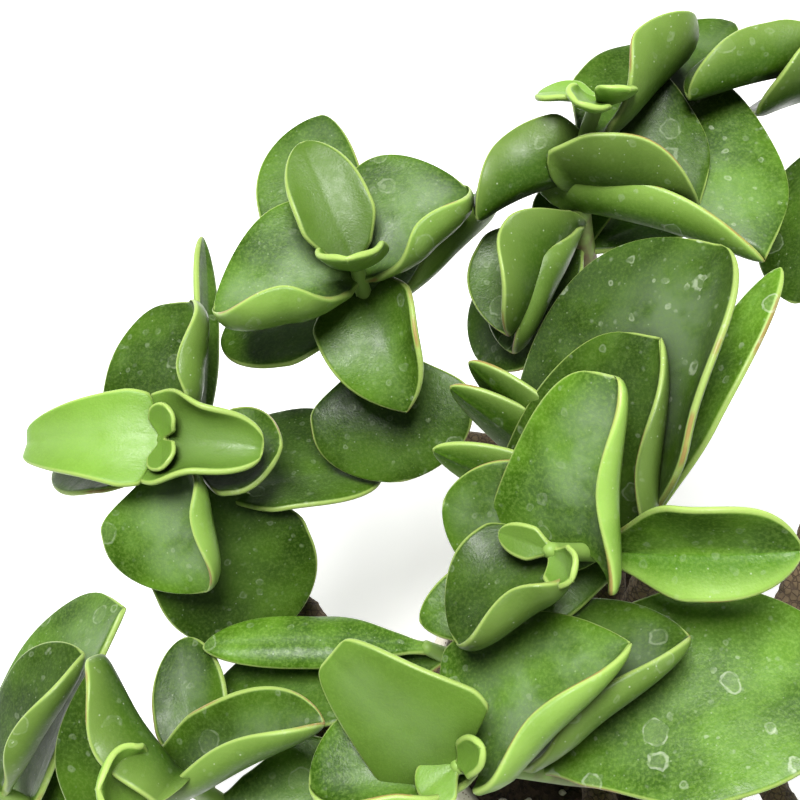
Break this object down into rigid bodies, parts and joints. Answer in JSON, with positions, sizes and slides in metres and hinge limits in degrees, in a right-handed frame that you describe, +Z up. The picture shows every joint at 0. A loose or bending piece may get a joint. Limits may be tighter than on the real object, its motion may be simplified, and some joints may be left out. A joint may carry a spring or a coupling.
{
  "type": "potted succulent plant",
  "caption": "Branching succulent with thick, waxy, wavy green leaves on woody stems, growing in soil in a plain round clay pot.",
  "frame": {"origin": "centre of the flat underside of the pot", "axes": "+Z up from the surface the pot stands on; the picture's camera looks down with +X to its right and +Y away from it"},
  "size_m": [0.3819, 0.3584, 0.2843],
  "materials": {
    "clay": "matte unglazed clay with a pale slip",
    "earth": "loose dark potting mix",
    "bark": "dry greyish-brown bark",
    "leaf": "waxy, satin green with a pale rim"
  },
  "bodies": {
    "root": {"pot": "clay", "soil": "earth", "woody_stem": "bark", "shoot_a": "leaf", "shoot_b": "leaf", "shoot_c": "leaf", "shoot_d": "leaf", "shoot_e": "leaf", "shoot_f": "leaf", "shoot_g": "leaf", "shoot_h": "leaf", "shoot_k": "leaf", "shoot_m": "leaf", "shoot_n": "leaf", "shoot_o": "leaf", "shoot_p": "leaf", "shoot_q": "leaf"}
  },
  "joints": []
}
